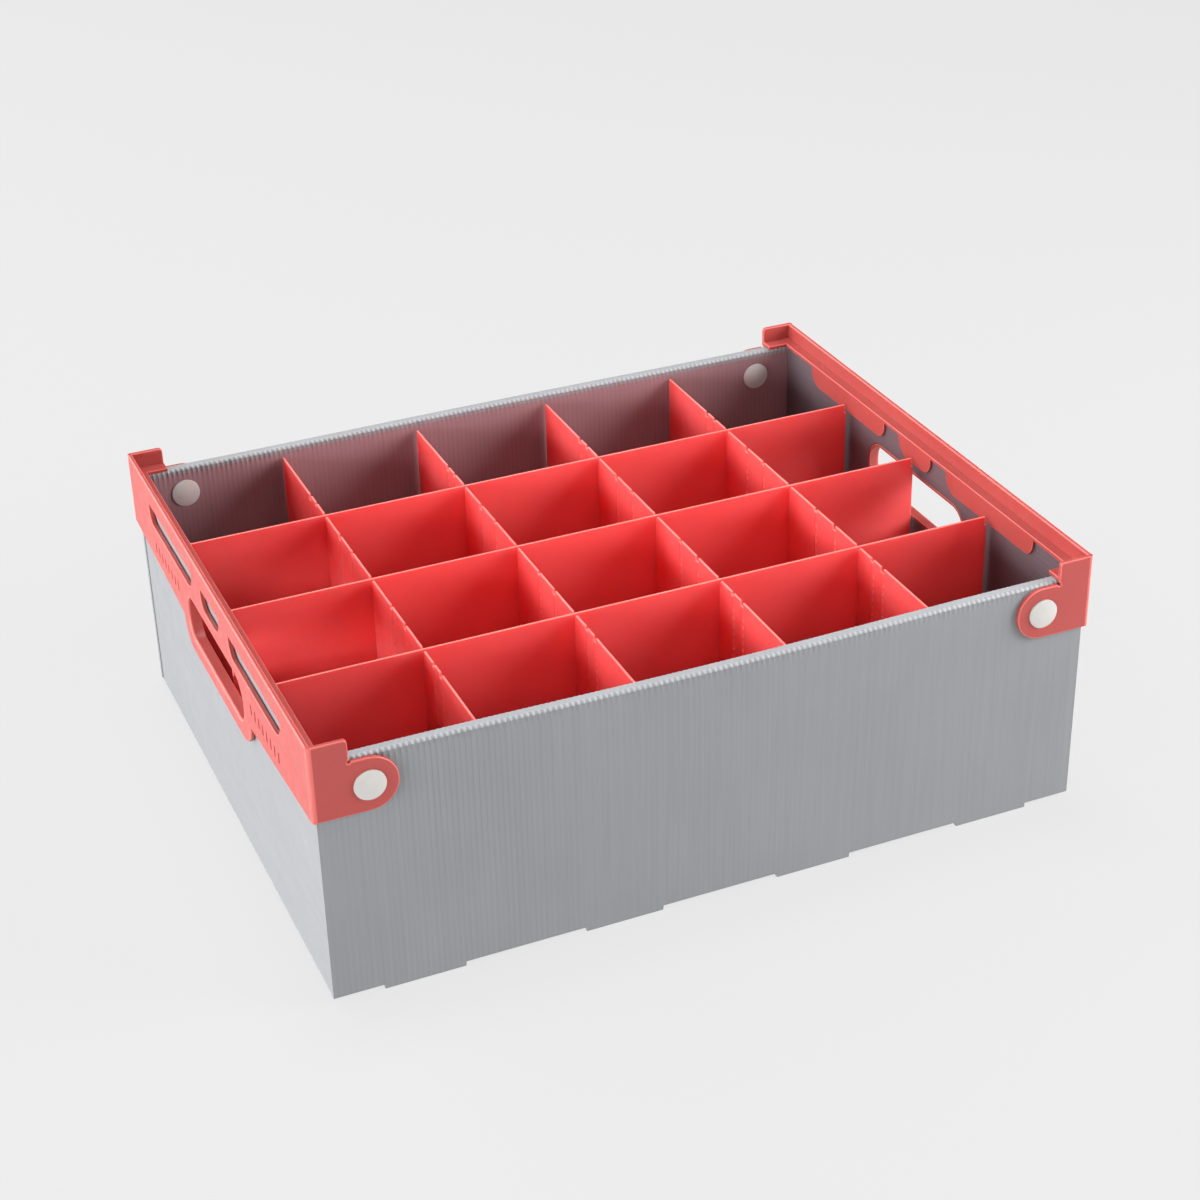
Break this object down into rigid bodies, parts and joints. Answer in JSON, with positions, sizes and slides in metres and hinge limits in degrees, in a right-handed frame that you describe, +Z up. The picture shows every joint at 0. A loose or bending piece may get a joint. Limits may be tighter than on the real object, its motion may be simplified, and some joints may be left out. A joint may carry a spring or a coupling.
{
  "type": "partitioned storage box",
  "caption": "Open stackable storage box of grey fluted plastic board, with moulded end frames that have hand holes, snap rivets, and a lift-out grid of red dividers.",
  "frame": {"origin": "on the ground under the middle of the box, at the bottom of the feet", "axes": "+X along the length towards the right end frame, +Y towards the rear long wall, +Z up"},
  "size_m": [0.5, 0.4044, 0.177],
  "materials": {
    "grey_board": "satin fluted polypropylene board",
    "red_frame": "satin moulded polypropylene",
    "red_divider": "satin moulded polypropylene sheet",
    "white_rivet": "satin moulded nylon"
  },
  "bodies": {
    "box": {"base_panel": "grey_board", "front_outer_wall": "grey_board", "rear_outer_wall": "grey_board", "front_rim_fold": "grey_board", "rear_rim_fold": "grey_board", "front_inner_wall": "grey_board", "rear_inner_wall": "grey_board", "left_end_wall": "grey_board", "right_end_wall": "grey_board", "left_end_frame": "red_frame", "right_end_frame": "red_frame", "front_left_rivet_cap": "white_rivet", "front_right_rivet_cap": "white_rivet", "rear_left_rivet_cap": "white_rivet", "rear_right_rivet_cap": "white_rivet", "front_left_rivet_stud": "white_rivet", "front_right_rivet_stud": "white_rivet", "rear_left_rivet_stud": "white_rivet", "rear_right_rivet_stud": "white_rivet"},
    "divider_grid": {"cross_divider_1": "red_divider", "cross_divider_2": "red_divider", "cross_divider_3": "red_divider", "cross_divider_4": "red_divider"},
    "front_divider": {"long_divider_front": "red_divider"},
    "middle_divider": {"long_divider_middle": "red_divider"},
    "rear_divider": {"long_divider_rear": "red_divider"}
  },
  "joints": [
    {"name": "grid_lift", "type": "slide", "parent": "box", "child": "divider_grid", "axis": [0, 0, 1], "range_m": [0, 0.18]},
    {"name": "front_divider_lift", "type": "slide", "parent": "divider_grid", "child": "front_divider", "axis": [0, 0, 1], "range_m": [0, 0.18]},
    {"name": "middle_divider_lift", "type": "slide", "parent": "divider_grid", "child": "middle_divider", "axis": [0, 0, 1], "range_m": [0, 0.18]},
    {"name": "rear_divider_lift", "type": "slide", "parent": "divider_grid", "child": "rear_divider", "axis": [0, 0, 1], "range_m": [0, 0.18]}
  ]
}
